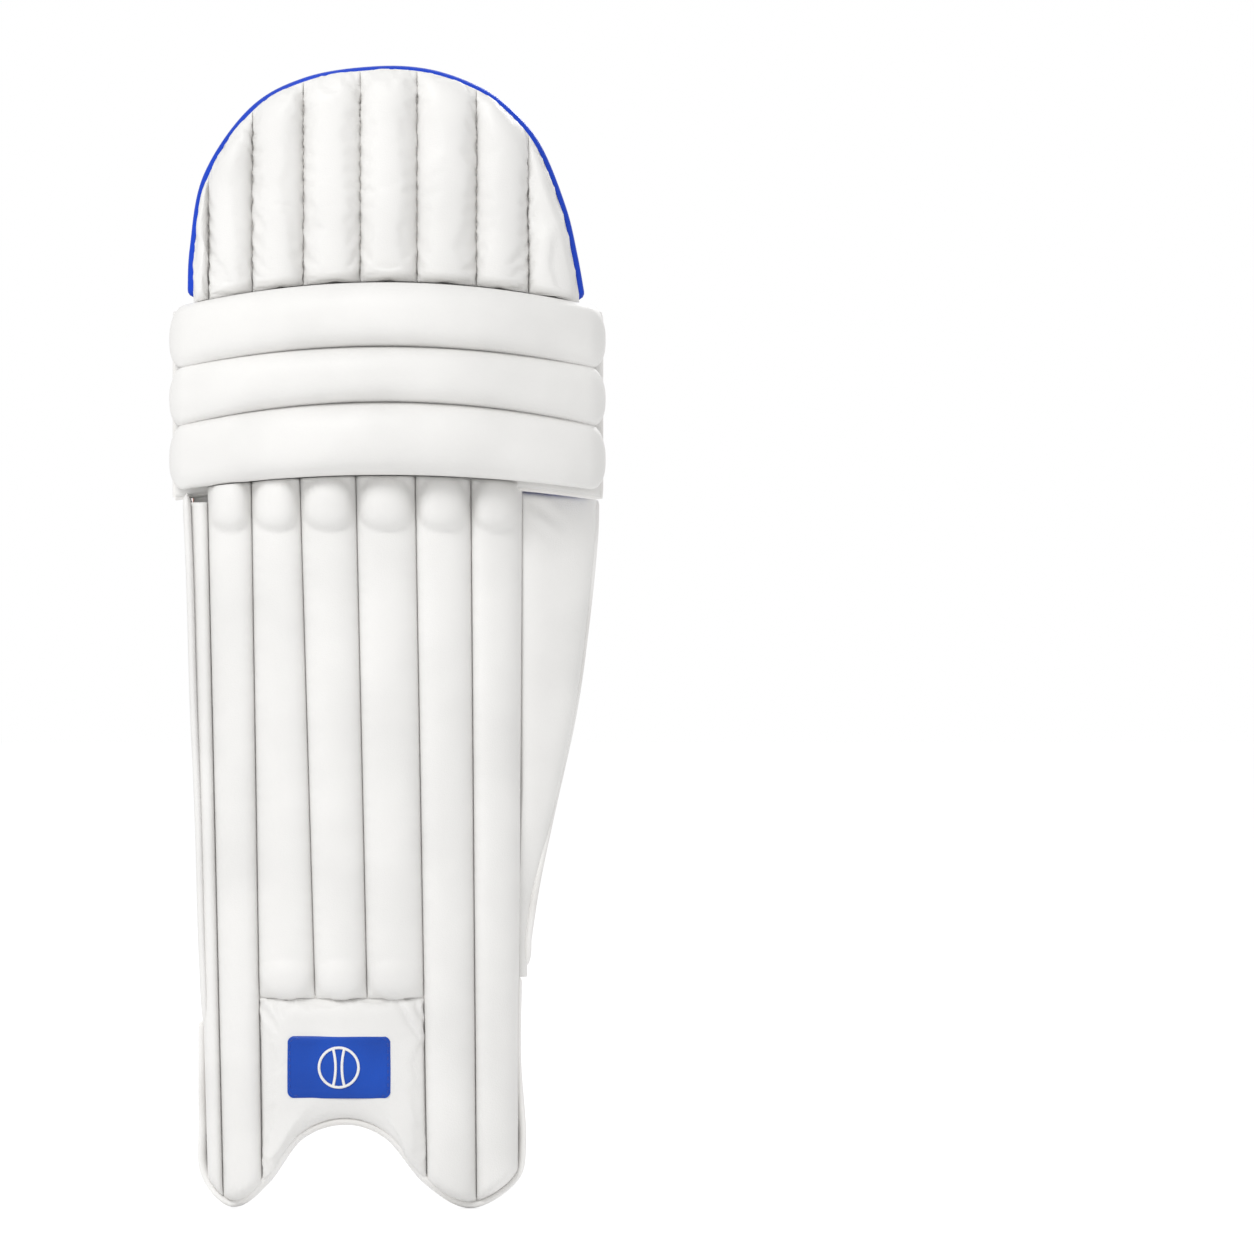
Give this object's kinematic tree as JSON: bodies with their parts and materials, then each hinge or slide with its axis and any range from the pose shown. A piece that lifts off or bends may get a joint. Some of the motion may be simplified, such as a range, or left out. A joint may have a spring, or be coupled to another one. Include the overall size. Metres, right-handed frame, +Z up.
{
  "type": "cricket leg pad",
  "caption": "Cricket batting leg pad with knee rolls, top flap, side wing, blue mesh bolsters and striped hook-and-loop straps.",
  "frame": {"origin": "middle of the back face of the shin rest strip, level with the middle strap", "axes": "+Z up the leg, +Y from the front of the pad towards the leg, +X towards the wing side"},
  "size_m": [0.267, 0.0987, 0.6951],
  "materials": {
    "white_pu": "satin",
    "blue_mesh": "matte",
    "orange_lining": "matte",
    "foam": "matte",
    "cane": "satin",
    "striped_webbing": "matte",
    "hook_tape": "matte",
    "ring_plastic": "gloss",
    "blue_badge": "satin",
    "blue_binding": "satin",
    "backing_board": "matte"
  },
  "bodies": {
    "shin": {"shin_backing": "backing_board", "shin_lining": "white_pu", "lobe_binding": "white_pu", "side_flange": "white_pu", "side_flange_lining": "orange_lining", "shin_channel_1": "white_pu", "shin_channel_2": "white_pu", "shin_channel_3": "white_pu", "shin_channel_4": "white_pu", "shin_channel_5": "white_pu", "shin_channel_6": "white_pu", "shin_channel_7": "white_pu", "cane_rods": "cane", "instep_panel": "white_pu", "front_badge": "blue_badge", "shin_rest_strip": "white_pu", "shin_bolster_outer": "blue_mesh", "shin_bolster_inner": "blue_mesh", "shin_bolster_cores": "foam", "middle_anchor_tab": "white_pu", "middle_anchor_webbing": "striped_webbing", "bottom_anchor_tab": "white_pu", "bottom_anchor_webbing": "striped_webbing", "bottom_landing_tab": "white_pu"},
    "knee": {"top_knee_roll": "white_pu", "middle_knee_roll": "white_pu", "bottom_knee_roll": "white_pu", "knee_backing": "backing_board", "knee_bolster_outer": "blue_mesh", "knee_bolster_inner": "blue_mesh", "knee_foam_cores": "foam", "knee_rest_panel": "white_pu", "top_landing_tab": "white_pu", "top_anchor_webbing": "striped_webbing"},
    "top_flap": {"flap_binding": "blue_binding", "flap_backing": "backing_board", "flap_back_panel": "white_pu", "flap_channel_1": "white_pu", "flap_channel_2": "white_pu", "flap_channel_3": "white_pu", "flap_channel_4": "white_pu", "flap_channel_5": "white_pu", "flap_channel_6": "white_pu", "flap_channel_7": "white_pu", "flap_channel_8": "white_pu"},
    "side_wing": {"wing_binding": "white_pu", "wing_lining": "orange_lining", "wing_foam": "foam", "wing_face": "white_pu", "middle_landing_tab": "white_pu"},
    "top_ring_link": {"top_ring": "ring_plastic"},
    "middle_ring_link": {"middle_ring": "ring_plastic"},
    "bottom_ring_link": {"bottom_ring": "ring_plastic"},
    "top_strap_run": {"top_strap": "striped_webbing", "top_hook_patch": "hook_tape"},
    "middle_strap_run": {"middle_strap": "striped_webbing", "middle_hook_patch": "hook_tape", "middle_strap_badge": "blue_badge"},
    "bottom_strap_run": {"bottom_strap": "striped_webbing", "bottom_hook_patch": "hook_tape"}
  },
  "joints": [
    {"name": "knee_flex", "type": "hinge", "parent": "shin", "child": "knee", "pos_m": [0.0145, -0.0145, 0.0885], "axis": [1, 0, 0], "range_deg": [-12, 4], "stiffness_Nm_per_rad": 12},
    {"name": "flap_flex", "type": "hinge", "parent": "knee", "child": "top_flap", "pos_m": [0.0145, -0.0145, 0.214], "axis": [1, 0, 0], "range_deg": [-10, 8], "stiffness_Nm_per_rad": 5},
    {"name": "wing_fold", "type": "hinge", "parent": "shin", "child": "side_wing", "pos_m": [0.09675, -0.0032, -0.06], "axis": [0, 0, 1], "range_deg": [-35, 0], "stiffness_Nm_per_rad": 0.6},
    {"name": "top_ring_hinge", "type": "hinge", "parent": "knee", "child": "top_ring_link", "pos_m": [-0.09425, 0.0368, 0.125], "axis": [0, 0, 1], "range_deg": [0, 45]},
    {"name": "top_strap_hinge", "type": "hinge", "parent": "top_ring_link", "child": "top_strap_run", "pos_m": [-0.08275, 0.0368, 0.125], "axis": [0, 0, 1], "range_deg": [0, 120]},
    {"name": "middle_ring_hinge", "type": "hinge", "parent": "shin", "child": "middle_ring_link", "pos_m": [-0.0749, 0.033, -0.00217], "axis": [-0.0356, 0, 0.9994], "range_deg": [0, 45]},
    {"name": "middle_strap_hinge", "type": "hinge", "parent": "middle_ring_link", "child": "middle_strap_run", "pos_m": [-0.06341, 0.033, -0.00176], "axis": [-0.0356, 0, 0.9994], "range_deg": [0, 120]},
    {"name": "bottom_ring_hinge", "type": "hinge", "parent": "shin", "child": "bottom_ring_link", "pos_m": [-0.07112, 0.033, -0.19922], "axis": [0.0797, 0, 0.9968], "range_deg": [0, 45]},
    {"name": "bottom_strap_hinge", "type": "hinge", "parent": "bottom_ring_link", "child": "bottom_strap_run", "pos_m": [-0.05966, 0.033, -0.20013], "axis": [0.0797, 0, 0.9968], "range_deg": [0, 120]}
  ]
}
